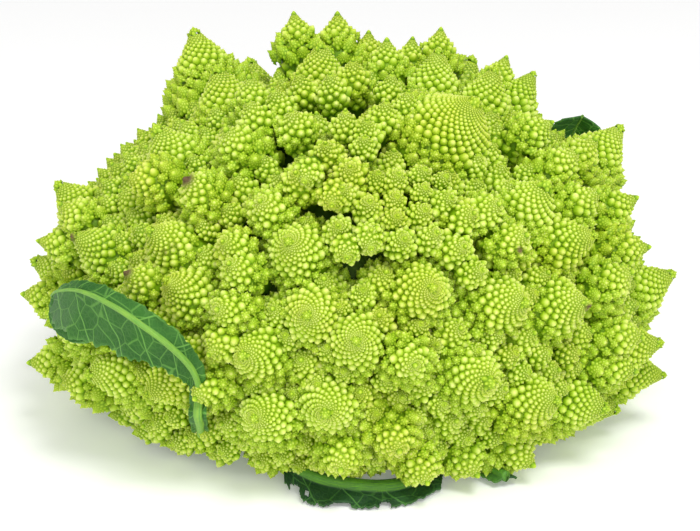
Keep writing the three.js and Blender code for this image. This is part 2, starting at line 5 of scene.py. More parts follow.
import bpy
import numpy as np
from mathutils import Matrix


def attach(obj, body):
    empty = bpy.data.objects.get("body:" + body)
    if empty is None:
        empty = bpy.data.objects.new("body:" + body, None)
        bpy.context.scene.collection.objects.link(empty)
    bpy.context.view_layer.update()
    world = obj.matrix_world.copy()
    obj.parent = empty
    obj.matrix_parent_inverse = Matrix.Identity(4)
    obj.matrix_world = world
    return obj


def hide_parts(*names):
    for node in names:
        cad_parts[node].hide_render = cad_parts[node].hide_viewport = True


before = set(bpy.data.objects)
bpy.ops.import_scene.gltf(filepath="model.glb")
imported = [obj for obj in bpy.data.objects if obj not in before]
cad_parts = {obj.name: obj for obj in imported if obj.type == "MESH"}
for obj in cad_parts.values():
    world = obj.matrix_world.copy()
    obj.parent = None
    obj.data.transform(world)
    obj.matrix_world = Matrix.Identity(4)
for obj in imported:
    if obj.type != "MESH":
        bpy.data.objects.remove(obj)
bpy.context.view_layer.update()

MM = 0.001

# The florets fan out from the hub, and their tips lie on this squat dome (millimetres, as in the part).
HUB = np.array([0.0, 0.0, 22.0])
DOME_CENTRE = np.array([0.0, 0.0, 40.0])
DOME_RADII = np.array([104.0, 88.0, 80.0])
FLESH_RADII = np.array([74.0, 60.0, 55.0])
LOWEST = 0.5
HOLLOW_RIM = (56.0, 6.0)
HOLLOW_TOP = (25.0, 13.0)
# The branches underneath run out to here and stand out this far.
BRANCHES = 13
BRANCH_END = 62.0
BRANCH_RELIEF = 4.0
BRANCH_RINGS = 15
DOME_RINGS = 18

STALK_RADIUS = 19.0
STALK_TOP_RADIUS = 23.0
STALK_TOP = 12.65
LEAF_SCARS = 9

# The front is set out as it is seen by an eye that looks down a little, on a sheet square to the line
# of sight.
SIGHT_TILT = math.radians(22)
EYE_DISTANCE = 750.0
SHEET_CENTRE = np.array([0.0, 0.0, 47.0])
SHEET_UP = np.array([0.0, math.sin(SIGHT_TILT), math.cos(SIGHT_TILT)])
TO_EYE = np.array([0.0, -math.cos(SIGHT_TILT), math.sin(SIGHT_TILT)])
EYE = SHEET_CENTRE + TO_EYE * EYE_DISTANCE
# The picture's width, as millimetres across the sheet, and the camera's sensor.
VIEW_WIDTH = 222.6
SENSOR = 36.0

GOLDEN_ANGLE = math.pi * (3 - math.sqrt(5))
TRIANGLE_HEIGHT = math.sqrt(3) / 2
# The rise from knob to knob in radii, for each winding, and the winding that crosses it.
PITCH = {3: 0.12, 5: 0.048, 8: 0.0185, 13: 0.0071}
NEXT = {3: 5, 5: 8, 8: 13, 13: 21}
BLUNTNESS = 1.15
SLENDERNESS = 1.5
TIP_CLEARANCE = 0.75
# Below its rim a floret narrows: depths in its lengths, and widths in its girths.
FLESH_DEPTHS = (1.0, 1.5, 2.4)
FLESH_WIDTHS = (1.0, 0.9, 0.7)
# The smaller cones start at this share of the girth and go on below the rim for this many lengths. The
# smooth core stops short of the tip, which has a knobbed cap.
BARE_TIP = 0.14
SKIRT = 0.8
CORE_TOP = 0.12
CAP_SPREAD = 1.05
CAP_HEIGHT = 1.25
# The core from its top to its root: depths in lengths, and how light it is painted, darker down as painted
# shade.
CORE_DEPTHS = (CORE_TOP, 0.25, 0.45, 0.75, 1.0, 1.5, 2.2)
CORE_PAINTED_SHADE = (0.5, 0.45, 0.33, 0.22, 0.12, 0.06, 0.0)
CORE_SHARE = 0.97
# The core's point is painted lighter still: painted light glowing through the tip.
CORE_TIP_TONE = 0.6
CORE_SIDES = 11
CROWDED_CORE_SIDES = 8
# How a knob is seated, in knob spacings: its radius, its lean to the tip, and how uneven it is.
KNOB_RADIUS = 0.6
KNOB_LEAN = 0.55
KNOB_SHIFT = 0.07
KNOB_SIZES = 0.2
KNOB_TONES = 0.12
# The flesh is slimmer than the floret with its knobs on. Small florets stand at uneven depths, and all
# those up to the coarse girth have fewer and larger knobs.
FLESH_SHARE = 0.87
SMALL_GIRTH = 5.2
UNEVEN_DEPTH = 2.5
UNEVEN_GIRTH = (0.88, 1.04)
COARSE_GIRTH = 8.0
# Spacings from which knobs are made finer: on the leader, where they face the front, and elsewhere. The
# least spacing that is made is smaller where the knobs face the front.
LEADER_DETAIL = (1.2, 1.8, 2.9, 3.5, 5.4)
NEAR_DETAIL = (1.35, 2.1, 2.85, 3.8, 5.6)
FAR_DETAIL = (2.3, 3.9, 4.8)
FINEST = (0.55, 0.8)
BACK_STARTS = 30.0

LEADER = dict(across=38.8, up=50.6, lift=4, rise=52, heading=-34, girth=17.0, length=22.0)

# The florets of the front: across and up of the tip, girth, and rise of the axis in degrees.
FRONT_FLORETS = [
    # the skyline, from the left
    (-105, -9, 9, 10), (-100, 8, 7, 15), (-94, 27, 15, 50), (-72, 28, 8, 20), (-50, 76, 16, 74),
    (-18, 81, 8, 74), (-4, 81, 9, 78), (6, 75, 8, 78), (20, 73, 7, 80), (29, 76, 8, 82), (50, 67, 8, 68),
    (59, 62, 10, 55), (65, 46, 7, 35), (87, 45, 14, 52), (92, 22, 8, 32), (96, 6, 8, 15),
    (104, -2, 14, 30), (101, -35, 10, 0),
    # the left shoulder
    (-40, 44, 9, 52), (-53, 28, 8, 45), (-65, 12, 13, 42), (-89, 10, 11, 35), (-72, -2, 7, 40),
    (-29, 21, 7, 40), (-41, 8, 6, 35), (-39, 1, 7, 35),
    # the slender ones behind the leader
    (-33, 53, 6, 62), (-25, 57, 5.5, 66), (-17.5, 63.5, 5.5, 70), (-6.5, 62, 5.5, 72), (-19, 50, 6, 62),
    (-1.5, 51, 5, 66), (1, 66, 6, 74), (14, 63.5, 5, 76), (19, 57, 5, 74), (12, 54, 5, 70),
    (5.5, 48.5, 5, 64), (-8, 40, 5.5, 55), (5, 43, 4.5, 58), (-17.5, 30, 6, 45), (0, 32, 5.5, 45),
    (-2.5, 25.4, 5, 42),
    # the rings that the leader has let go
    (9.5, 31.6, 3.8, 52), (16, 30.4, 4.4, 46), (24.4, 31.5, 3.7, 48), (31.8, 29.6, 3.5, 42),
    (15.6, 23.4, 3.6, 44), (24.6, 25.6, 3.4, 40), (33.2, 22.4, 4.9, 36), (6.6, 21.8, 5.4, 42),
    (15.8, 16.6, 4.2, 34), (25, 18.8, 4.4, 36), (40, 17, 6.2, 32), (37.6, 6.4, 5.6, 28),
    # the large ones that face the front
    (-20, 8, 12, 34), (-4, 13.6, 5.2, 36), (7, 12, 5.6, 34), (18, 9, 5.4, 31), (28.8, 11.4, 5.2, 35),
    (-14, -16, 13, 22), (27, -7, 13, 26), (2, -24, 13, 24), (-35, -29, 14, 16), (-43, -14, 8, 22),
    (-8, -48, 15, 8), (46, -38, 19, 10), (21, -32, 8, 14),
    # the right flank
    (73, 37, 9, 45), (80, 24, 8, 38), (79, 10, 10, 26), (57, 10, 8, 32), (48, 20, 7, 38),
    (57, -12, 13, 20), (77, -12, 13, 20), (44, -1, 5, 26), (94, -23, 8, 10), (92, -34, 9, 0),
    (83, -46, 14, 2),
    # the ones that hang to the surface
    (-85, -35, 15, 8), (-103, -31, 9, 2), (-66, -42, 10, -8), (-50, -43, 8, -6), (-3, -66, 9, -10),
    (16, -60, 9, -8), (25, -70, 8, -16), (41, -73, 9, -18), (59, -67, 9, -14), (78, -64, 12, -10),
    (86, -54, 13, -5),
]
# Small ones that show in two gaps under the leader, and one over the left leaf's foot.
GAP_FLORETS = [
    (-6, 18, 5, -3), (7, 4, 5, -3), (-15, 26, 4.5, -2), (-1, 1, 4.5, -3), (-45.5, -29, 6, -8),
]

FILL_GIRTHS = (17, 13, 9)
FILL_GIRTH_RANGE = (0.9, 1.1)
FILL_TRIES = 420
FILL_CLOSENESS = 0.74
LOWEST_TIP = 10
FILL_UPLIFT = 10
# The notches of the outline, as seen: across, up and radius.
NOTCHES = [
    (-69, 53, 9), (-80, 34, 12), (70, 51, 9), (99, 17, 7), (-92, -45, 6), (-73, -59, 9), (-39, -60, 7),
    (-35, -63, 12), (-20, -70, 9), (-48, -63, 12), (-58, -61, 9),
]
# The small florets in the gaps: girth, and depth below the dome.
CROWD = ((6.5, 10.0), (4.5, 11.0), (3.6, 9.0))
CROWD_LOWEST = 7.0
CROWD_TRIES = 1100
CROWD_CLOSENESS = 1.9
CROWD_CLEARANCE = 0.5

# The leaves, as in the part: across, up and nearness for the left one, and x, y, z for the rest.
LEAF_LEFT = {
    "near": [
        (-93.5, -12.5, 1), (-94.5, -17, 5), (-88, -21.5, 9), (-77, -26, 10), (-67, -30, 9), (-58, -33, 3),
        (-52, -38, -4), (-51.5, -44, -8), (-51.5, -50, -8),
    ],
    "rib": [
        (-94, -9.5, 5), (-91, -8, 9), (-84, -8, 12), (-74, -12.5, 13), (-65, -18.5, 12), (-56, -26, 6),
        (-50, -34, -2), (-48.5, -42, -7), (-48.5, -50, -7),
    ],
    "far": [
        (-92, -7.5, 6), (-88, -5.5, 9), (-81, -5, 11), (-72, -8.5, 12), (-62, -14.5, 11), (-53, -22, 5),
        (-47, -32, -3), (-46, -42, -8), (-46, -50, -8),
    ],
}
LEAF_LEFT_FOOT = {
    "near": [
        (-44.4, -35.2, 3), (-17.2, -10.2, 3),
    ],
    "rib": [
        (-42, -37, 4), (-15, -13, 4),
    ],
    "far": [
        (-39.6, -38.8, 3), (-12, -16, 3),
    ],
}
LEAF_FRONT = {
    "near": [
        (-19.5, -64.5, 2.6), (-15.5, -70.5, 1.1), (-9.5, -75, 0.9), (0, -76.3, 0.9), (9, -76.5, 0.9),
        (17, -74, 0.9), (27, -64, 1.2), (26, -45, 1.8), (11, -16.8, 3),
    ],
    "rib": [
        (-20, -58, 6.5), (-15, -62, 5.4), (-8, -66, 4.3), (1, -68, 3.6), (9, -68.5, 3.2), (16, -66, 3),
        (22.5, -59, 3), (22, -44, 3.2), (8, -18.2, 4),
    ],
    "far": [
        (-18, -55.2, 4.8), (-13.5, -57.5, 4), (-7, -61.5, 3), (1, -63.5, 2), (8, -64, 1.9),
        (14, -61.5, 1.8), (18.5, -56, 1.8), (18, -43, 2), (5, -19.4, 3),
    ],
}
LEAF_BACK = {
    "near": [
        (71, 57, 77), (64, 62, 71), (60, 69, 56), (59, 72, 38), (60, 69, 18), (56, 60, 6), (38, 41, 2.5),
        (11, 16.6, 3),
    ],
    "rib": [
        (78, 57, 78), (76, 62, 71), (73, 68, 56), (71, 72, 38), (66, 70, 18), (58, 58, 6), (40, 39, 3.4),
        (14, 14, 4),
    ],
    "far": [
        (84, 53, 75), (87, 54, 68), (85, 60, 54), (81, 65, 37), (73, 65, 18), (60, 55, 6), (42, 37, 2.5),
        (16.6, 11, 3),
    ],
}
LEAF_STUB = {
    "near": [
        (50.5, -60.5, 2.2), (45, -52.5, 1.8), (33.5, -35, 2), (18.4, -8, 3),
    ],
    "rib": [
        (47, -62, 3.6), (41, -54, 3), (30, -37, 3.2), (16.5, -11, 4),
    ],
    "far": [
        (43.5, -63, 2.2), (37.5, -55.5, 1.8), (27, -39, 2), (14.6, -13.8, 3),
    ],
}
# The end of the left leaf curls round behind it.
LEAF_LEFT_CURL = {
    "near": [
        (-93.5, -9.2, 6), (-95, -14, 5), (-94.5, -18.5, 3), (-92, -22, 1.5), (-88.5, -24.3, 0.5),
        (-84, -24.6, 0.5),
    ],
    "rib": [
        (-92.5, -9.2, 5.5), (-93.2, -14, 4), (-92.2, -18, 2), (-89.5, -20.8, 0), (-86.5, -22.4, -1),
        (-83, -23, -1),
    ],
    "far": [
        (-91, -9.8, 4.5), (-90.5, -14, 2), (-89, -17, 0), (-87, -19, -1.5), (-84.5, -20.5, -2.5),
        (-82, -21.4, -3),
    ],
}
# Tears and a hole in the front leaf: along, out from the rib, and their half length and half width.
FRONT_TEARS = [
    (0.1, -1.0, 0.05, 0.55), (0.18, -0.62, 0.014, 0.16), (0.33, -1.05, 0.05, 0.3),
    (0.52, -1.05, 0.03, 0.45),
]
# How each leaf is made: its rib from the tip to the foot, its rows, its own noise, and its waves from
# slow to quick.
LEFT_MAKE = dict(rib_width=(0.9, 3.2), rib_thickness=(1.4, 4), rows=170, seed=3, ripple=(0.5, 0.5, 0.35))
CURL_MAKE = dict(rib_width=(0.5, 0.5), rib_thickness=(0.8, 0.8), rows=44, seed=8, ripple=(0.1, 0.15, 0.1))
FRONT_MAKE = dict(rib_width=(3.8, 5.4), rib_thickness=(4.8, 5.4), rows=150, seed=4, ripple=(0.1, 0.12, 0.1))
BACK_MAKE = dict(rib_width=(0.9, 3.2), rib_thickness=(1.4, 4.4), rows=130, seed=6, ripple=(0.6, 0.6, 0.4))
STUB_MAKE = dict(rib_width=(2.4, 3), rib_thickness=(3.6, 4.4), rows=60, seed=7, ripple=(0.0, 0.05, 0.05))
# How much of a stem the far side of the front leaf and of the stub is.
FRONT_FLESHY = 0.85
STUB_FLESHY = 0.5
# Points across a leaf: on a side from its edge in to the rib, and over the rib.
ACROSS_BLADE = np.array([1, 0.97, 0.92, 0.85, 0.77, 0.68, 0.58, 0.48, 0.38, 0.28, 0.18, 0.08, 0.0])
ACROSS_RIB = np.array([-0.93, -0.7, -0.36, 0, 0.36, 0.7, 0.93])
# Nothing goes lower than this, just over the surface that the head rests on.
LEAST_HEIGHT = 0.1
BLADE_HALF = 0.35
VEIN_SPACING = 13.0

# Brown specks and bruised tips: across, up, and the radius that they colour; then how deep they go.
BLEMISHES = [
    (-56.0, 6.0, 1.1), (-59.1, 4.1, 1.0), (-53.1, 2.5, 1.1), (-57.9, 0.3, 0.9), (-49.9, -2.2, 1.2),
    (42.3, -45.2, 1.2), (46.7, -45.2, 1.1), (38.2, -61.1, 1.4), (76.3, -13.7, 1.2), (54.1, 4.8, 0.9),
    (39.4, 58.2, 1.0), (43.9, 50.2, 0.9), (-52.5, 28.0, 2.2), (-71.5, -1.5, 1.8), (-89.5, 9.0, 1.6),
]
BLEMISH_DEPTH = 5.0

# The floor lies just under the head. The lights: place, size and power.
FLOOR = -0.0002
FLOOR_GLOW = 0.17
SKY = 0.55
LIGHTS = [
    ("key", (0.25, -0.5, 1.0), 0.4, 7.2),
    ("left", (-0.9, -0.4, 0.7), 0.5, 2.5),
    ("front", (0.1, -1.4, 0.6), 0.6, 4.5),
]


def unit(vectors):
    return vectors / np.linalg.norm(vectors, axis=-1, keepdims=True)


def seeded_random(seed):
    """The same numbers as the part draws."""
    mask = 0xFFFFFFFF
    state = seed & mask
    while True:
        state = (state + 0x6D2B79F5) & mask
        t = state
        t = ((t ^ (t >> 15)) * (t | 1)) & mask
        t = (t ^ (t + (((t ^ (t >> 7)) * (t | 61)) & mask))) & mask
        yield (t ^ (t >> 14)) / 4294967296


def seen_on_dome(across, up):
    on_sheet = SHEET_CENTRE + SHEET_UP * up + np.array([across, 0.0, 0.0])
    sight = unit(on_sheet - EYE)
    start = (EYE - DOME_CENTRE) / DOME_RADII
    along = sight / DOME_RADII
    a = along @ along
    b = start @ along
    room = max(0.0, b * b - a * (start @ start - 1))
    return EYE + sight * ((-b - math.sqrt(room)) / a)


def in_notch(point):
    offset = point - SHEET_CENTRE
    scale = EYE_DISTANCE / (EYE_DISTANCE - offset @ TO_EYE)
    across, up = offset[0] * scale, (offset @ SHEET_UP) * scale
    return any(math.hypot(across - a, up - u) < radius for a, u, radius in NOTCHES)


def direction(x, y, tilt):
    level = math.hypot(x, y) or 1.0
    c = math.cos(tilt)
    return np.array([x / level * c, y / level * c, math.sin(tilt)])


def floret(tip, girth, axis, length=None):
    return dict(tip=tip, girth=girth, axis=axis, length=length or girth * SLENDERNESS)


def front_floret(across, up, girth, rise):
    tip = seen_on_dome(across, up)
    tip[2] = max(tip[2], LOWEST + girth * TIP_CLEARANCE)
    out = tip - HUB
    return floret(tip, girth, direction(out[0], out[1], math.radians(rise)))


def leader_floret():
    heading = math.radians(LEADER["heading"])
    axis = direction(math.cos(heading), math.sin(heading), math.radians(LEADER["rise"]))
    tip = seen_on_dome(LEADER["across"], LEADER["up"]) + axis * LEADER["lift"]
    return floret(tip, LEADER["girth"], axis, LEADER["length"])


def golden_places(tries):
    """Points on a unit ball at golden-angle steps from the top down."""
    for i in range(tries):
        height = 1 - 2 * (i + 0.5) / tries
        level = math.sqrt(1 - height * height)
        angle = i * GOLDEN_ANGLE
        yield np.array([level * math.cos(angle), level * math.sin(angle), height])


def outward_floret(tip, girth):
    out = unit(tip - HUB)
    tilt = min(math.pi / 2, math.asin(out[2]) + math.radians(FILL_UPLIFT))
    return floret(tip, girth, direction(out[0], out[1], tilt))


def fill_florets(taken):
    """Tips on the dome wherever there is room, as in the part."""
    random = seeded_random(7)
    added = []
    low, high = FILL_GIRTH_RANGE
    for girth in FILL_GIRTHS:
        for place in golden_places(FILL_TRIES):
            size = girth * (low + (high - low) * next(random))
            tip = place * DOME_RADII + DOME_CENTRE
            if tip[2] < LOWEST_TIP or in_notch(tip):
                continue
            if all(math.dist(f["tip"], tip) > FILL_CLOSENESS * (f["girth"] + size) for f in taken + added):
                added.append(outward_floret(tip, size))
    return added


def crowd_florets(taken):
    """Small ones deeper down, in the gaps that are left."""
    added = []
    for girth, depth in CROWD:
        for place in golden_places(CROWD_TRIES):
            tip = place * (DOME_RADII - depth) + DOME_CENTRE
            if tip[2] < CROWD_LOWEST:
                continue
            if any(math.dist(f["tip"], tip) < CROWD_CLOSENESS * girth for f in added):
                continue
            if not any(is_inside(f, tip[None], CROWD_CLEARANCE * -girth)[0] for f in taken):
                added.append(outward_floret(tip, girth))
    return added


def all_florets():
    leader = leader_floret()
    front = [front_floret(*values) for values in FRONT_FLORETS + GAP_FLORETS]
    flank = dict(tip=leader["tip"] - leader["axis"] * leader["length"] / 2, girth=leader["girth"])
    small = front + fill_florets(front + [flank])
    uneven = np.random.default_rng(3)
    for f in small:
        f["girth"] *= FLESH_SHARE
        if f["girth"] < SMALL_GIRTH:
            f["tip"] = f["tip"] - f["axis"] * uneven.uniform(0, UNEVEN_DEPTH)
            f["girth"] *= uneven.uniform(*UNEVEN_GIRTH)
    random = seeded_random(21)
    for f in small:
        f["hand"] = 1 if next(random) < 0.5 else -1
        f["turn"] = 2 * math.pi * next(random)
    leader.update(hand=1, turn=0.0)
    made = [leader] + small
    crowd = crowd_florets(made)
    for f in crowd:
        f.update(hand=1 if next(random) < 0.5 else -1, turn=2 * math.pi * next(random), crowded=True)
    return made + crowd


def outward_at(angles, axis):
    """Directions square to an axis, at angles round it."""
    side = unit(np.cross([0.0, 0.0, 1.0], axis))
    return np.cos(angles)[:, None] * side + np.sin(angles)[:, None] * np.cross(axis, side)


def reach_at(f, depth):
    """The radius of a floret at depths below its tip."""
    lengths = np.clip(depth / f["length"], 0, None)
    below = np.interp(lengths, FLESH_DEPTHS, FLESH_WIDTHS)
    return f["girth"] * np.where(lengths < 1, lengths ** (1 / BLUNTNESS), below)


def is_inside(f, points, shrink):
    offset = points - f["tip"]
    depth = -(offset @ f["axis"])
    radius = np.linalg.norm(offset + depth[:, None] * f["axis"], axis=1)
    return (depth > 0) & (depth < FLESH_DEPTHS[-1] * f["length"]) & (radius < reach_at(f, depth) - shrink)


def windings(f, winding, bare, skirt):
    """Places that wind down a cone from near its tip, and on below its rim for skirt lengths.

    Returns positions, normals, spacings, shares of the girth and lengths below the rim."""
    lean = f["length"] / f["girth"]
    growth = PITCH[winding] / math.hypot(1, lean)
    to_rim = math.log(1 / bare) / growth
    below = skirt * lean / PITCH[winding]
    n = np.arange(int(to_rim + below) + 1)
    share = bare * np.exp(np.minimum(n, to_rim) * growth)
    beyond = np.clip(n - to_rim, 0, None) * PITCH[winding] / lean
    depth = f["length"] * (share**BLUNTNESS + beyond)
    angle = f["hand"] * n * GOLDEN_ANGLE + f["turn"]
    outward = outward_at(angle, f["axis"])
    radius = reach_at(f, depth)
    places = f["tip"] - depth[:, None] * f["axis"] + outward * radius[:, None]
    slope = np.clip(1 - 3 * beyond, 0, 1)[:, None]
    normals = unit(outward * lean + f["axis"] * slope)
    spacing = radius * math.sqrt(2 * math.pi * PITCH[winding] / TRIANGLE_HEIGHT)
    return places, normals, spacing, share, beyond


def knobbed_cone(winding, bare, lean, knob):
    """A unit cone along +Z, its base at 0 and its rim at radius 1, covered in knobs: six triangles to each.

    Returns the vertices, triangles and two heights: up the cone, and up each knob."""
    near = winding
    far = NEXT[winding]
    both = near + far
    growth = PITCH[winding] / math.hypot(1, lean)
    count = int(round(-math.log(bare) / growth))
    n = np.arange(-both, count + both + 1)
    share = bare * np.exp(n * growth)
    angle = n * GOLDEN_ANGLE
    outward = np.stack([np.cos(angle), np.sin(angle), np.zeros(len(n))], axis=1)
    up = np.array([0.0, 0.0, 1.0])
    surface = up * (lean - lean * share**BLUNTNESS)[:, None] + outward * share[:, None]
    normals = unit(outward * lean + up)
    spread = math.sqrt(2 * math.pi * PITCH[winding] / TRIANGLE_HEIGHT)
    peaks = surface + unit(normals + 0.35 * up) * (share * spread * knob)[:, None]

    index = {}
    vertices = []
    heights = []

    def vertex(key, place, height):
        if key not in index:
            index[key] = len(vertices)
            vertices.append(place)
            heights.append(height)
        return index[key]

    def low(kind, k):
        middle = k + near if kind == "near" else k + far
        place = (surface[k + both] + surface[middle + both] + surface[k + 2 * both]) / 3
        return vertex((kind, k), place * np.array([0.97, 0.97, 1]), 0.0)

    triangles = []
    edges = set()
    for k in range(count):
        peak = vertex(("peak", k), peaks[k + both], 1.0)
        ring = [
            low("near", k),
            low("far", k),
            low("near", k - near),
            low("far", k - both),
            low("near", k - both),
            low("far", k - far),
        ]
        for a, b in zip(ring, ring[1:] + ring[:1]):
            triangles.append((peak, a, b))
            edges.add((a, b))
    # The open round at the tip is closed with a point.
    following = {b: a for a, b in edges if (b, a) not in edges}
    while following:
        loop = [next(iter(following))]
        while loop[-1] in following:
            loop.append(following.pop(loop[-1]))
        loop = loop[:-1]
        middle = np.mean([vertices[i] for i in loop], axis=0)
        if middle[2] < lean / 2:
            continue
        end = vertex("end", np.array([0, 0, lean * 1.03]), 0.9)
        triangles += [(end, a, b) for a, b in zip(loop, loop[1:] + loop[:1])]
    vertices = np.array(vertices)
    triangles = np.array(triangles)
    a, b, c = (vertices[triangles[:, k]] for k in range(3))
    if np.einsum("ij,ij->i", a, np.cross(b, c)).sum() < 0:
        triangles = triangles[:, ::-1]
    return vertices, triangles, np.clip(vertices[:, 2] / lean, 0, 1), np.array(heights)


def round_knob(sides, rings):
    """A smooth knob along +Z, open underneath: rings of radius and height, then a point."""
    angles = np.arange(sides) * 2 * math.pi / sides
    circle = np.stack([np.cos(angles), np.sin(angles)], axis=1)
    vertices = [[x * radius, y * radius, height] for radius, height in rings[:-1] for x, y in circle]
    vertices.append([0, 0, rings[-1][1]])
    top = len(vertices) - 1
    triangles = []
    for i in range(sides):
        j = (i + 1) % sides
        for ring in range(len(rings) - 2):
            a, b = ring * sides, (ring + 1) * sides
            triangles += [(a + i, a + j, b + j), (a + i, b + j, b + i)]
        last = (len(rings) - 2) * sides
        triangles.append((last + i, last + j, top))
    vertices = np.array(vertices)
    height = np.clip(vertices[:, 2] / rings[-1][1], 0, 1)
    return vertices, np.array(triangles), height, height


TEMPLATES = {
    "speck": round_knob(6, [(1.0, -0.15), (0.0, 0.7)]),
    "bead": round_knob(5, [(1.0, -0.25), (0.72, 0.5), (0.0, 1.05)]),
    "ball": round_knob(7, [(1.0, -0.3), (0.86, 0.35), (0.5, 0.9), (0.0, 1.3)]),
    "knobbed": knobbed_cone(3, 0.32, 1.6, 0.45),
    "rich": knobbed_cone(5, 0.33, 1.7, 0.46),
    "grand": knobbed_cone(8, 0.26, 1.7, 0.48),
    "cap": knobbed_cone(3, 0.36, CAP_HEIGHT, 0.5),
}


class Soup:
    """Vertices and triangles gathered for one piece, with the values that its material reads."""

    def __init__(self):
        self.vertices = []
        self.triangles = []
        self.painted_shade_tone = []
        self.shade = []
        self.count = 0

    def add(self, vertices, triangles, painted_shade_tone, shade):
        self.vertices.append(vertices)
        self.triangles.append(triangles + self.count)
        self.painted_shade_tone.append(painted_shade_tone)
        self.shade.append(np.broadcast_to(shade, len(vertices)))
        self.count += len(vertices)

    def add_copies(self, template, places, axes, scales, turns, dim, shade):
        vertices, triangles, up, knob = template
        if not len(places):
            return
        reference = np.where(np.abs(axes[:, 2:]) < 0.9, [[0.0, 0.0, 1.0]], [[1.0, 0.0, 0.0]])
        side = unit(np.cross(reference, axes))
        third = np.cross(axes, side)
        c, s = np.cos(turns)[:, None], np.sin(turns)[:, None]
        matrix = np.stack([side * c + third * s, third * c - side * s, axes], axis=2) * scales[:, None, None]
        placed = np.einsum("nij,vj->nvi", matrix, vertices) + places[:, None, :]
        faces = triangles[None] + (np.arange(len(places)) * len(vertices))[:, None, None]
        # Painted shade: each copy is darker at its foot, down in the crevices, and paler up to its tip, where
        # the paleness is also the tips' own colour.
        painted_shade_tone = (0.1 + 0.42 * up + 0.48 * knob)[None] * dim[:, None]
        shades = np.repeat(shade, len(vertices))
        self.add(placed.reshape(-1, 3), faces.reshape(-1, 3), painted_shade_tone.reshape(-1), shades)

    def piece(self, name, material):
        vertices = np.concatenate(self.vertices)
        vertices[:, 2] = np.maximum(vertices[:, 2], LEAST_HEIGHT)
        values = {"painted_shade_tone": np.concatenate(self.painted_shade_tone), "shade": np.concatenate(self.shade)}
        values["blemish"] = blemish_at(vertices)
        return make_piece(name, vertices, np.concatenate(self.triangles), values, material, "curd")


def blemish_at(points):
    """1 at a blemish and 0 clear of it."""
    worst = np.zeros(len(points))
    for across, up, radius in BLEMISHES:
        middle = seen_on_dome(across, up)
        line = unit(middle - EYE)
        offset = points - middle
        along = offset @ line
        off = np.linalg.norm(offset - along[:, None] * line, axis=1)
        near = np.clip(2 - np.abs(along) / BLEMISH_DEPTH, 0, 1)
        worst = np.maximum(worst, np.clip(1.6 - off / radius, 0, 1) * near)
    return worst


def make_piece(name, vertices, triangles, values, material, node):
    """A mesh from millimetres, in the place of a node of the part."""
    mesh = bpy.data.meshes.new(name)
    mesh.vertices.add(len(vertices))
    mesh.vertices.foreach_set("co", (vertices * MM).astype(np.float32).ravel())
    mesh.loops.add(triangles.size)
    mesh.loops.foreach_set("vertex_index", triangles.astype(np.int32).ravel())
    mesh.polygons.add(len(triangles))
    mesh.polygons.foreach_set("loop_start", np.arange(len(triangles), dtype=np.int32) * 3)
    mesh.polygons.foreach_set("loop_total", np.full(len(triangles), 3, dtype=np.int32))
    for key, numbers in values.items():
        layer = mesh.attributes.new(key, "FLOAT", "POINT")
        layer.data.foreach_set("value", np.asarray(numbers, dtype=np.float32))
    mesh.update(calc_edges=True)
    mesh.validate()
    mesh.shade_smooth()
    mesh.materials.append(material)
    made = bpy.data.objects.new(name, mesh)
    bpy.context.collection.objects.link(made)
    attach(made, "root")
    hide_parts(node)
    return made


def core_cone(f):
    """The smooth flesh of one floret, from just below its tip down to its root."""
    sides = CROWDED_CORE_SIDES if f.get("crowded") else CORE_SIDES
    depths = f["length"] * np.array(CORE_DEPTHS)
    radii = reach_at(f, depths) * CORE_SHARE
    outward = outward_at(np.arange(sides) * 2 * math.pi / sides, f["axis"])
    rings = [f["tip"] - f["axis"] * d + outward * r for d, r in zip(depths, radii)]
    vertices = np.concatenate(rings + [[f["tip"] - f["axis"] * (f["length"] * CORE_TOP * 0.8)]])
    # The root stays above the branches.
    from_middle = np.hypot(vertices[:, 0], vertices[:, 1])
    branches = np.interp(from_middle, (STALK_TOP_RADIUS, BRANCH_END), (HOLLOW_TOP[1], HOLLOW_RIM[1]))
    raised = np.maximum(vertices[:, 2], branches + BRANCH_RELIEF)
    vertices[:, 2] = np.where(from_middle < BRANCH_END, raised, vertices[:, 2])
    top = len(vertices) - 1
    triangles = [(top, i, (i + 1) % sides) for i in range(sides)]
    for a in range(0, top - sides, sides):
        b = a + sides
        for i in range(sides):
            j = (i + 1) % sides
            triangles += [(a + i, b + i, b + j), (a + i, b + j, a + j)]
    return vertices, np.array(triangles), np.append(np.repeat(CORE_PAINTED_SHADE, sides), CORE_TIP_TONE)


def add_cap(soup, f, shade):
    radius = f["girth"] * BARE_TIP * CAP_SPREAD
    seat = f["tip"] - f["axis"] * (radius * CAP_HEIGHT)
    kind, dim = ("cap", 0.9) if f["girth"] > COARSE_GIRTH else ("ball", 0.7)
    one = np.ones(1)
    soup.add_copies(
        TEMPLATES[kind], seat[None], f["axis"][None], radius * one, f["turn"] * one, dim * one, shade * one
    )


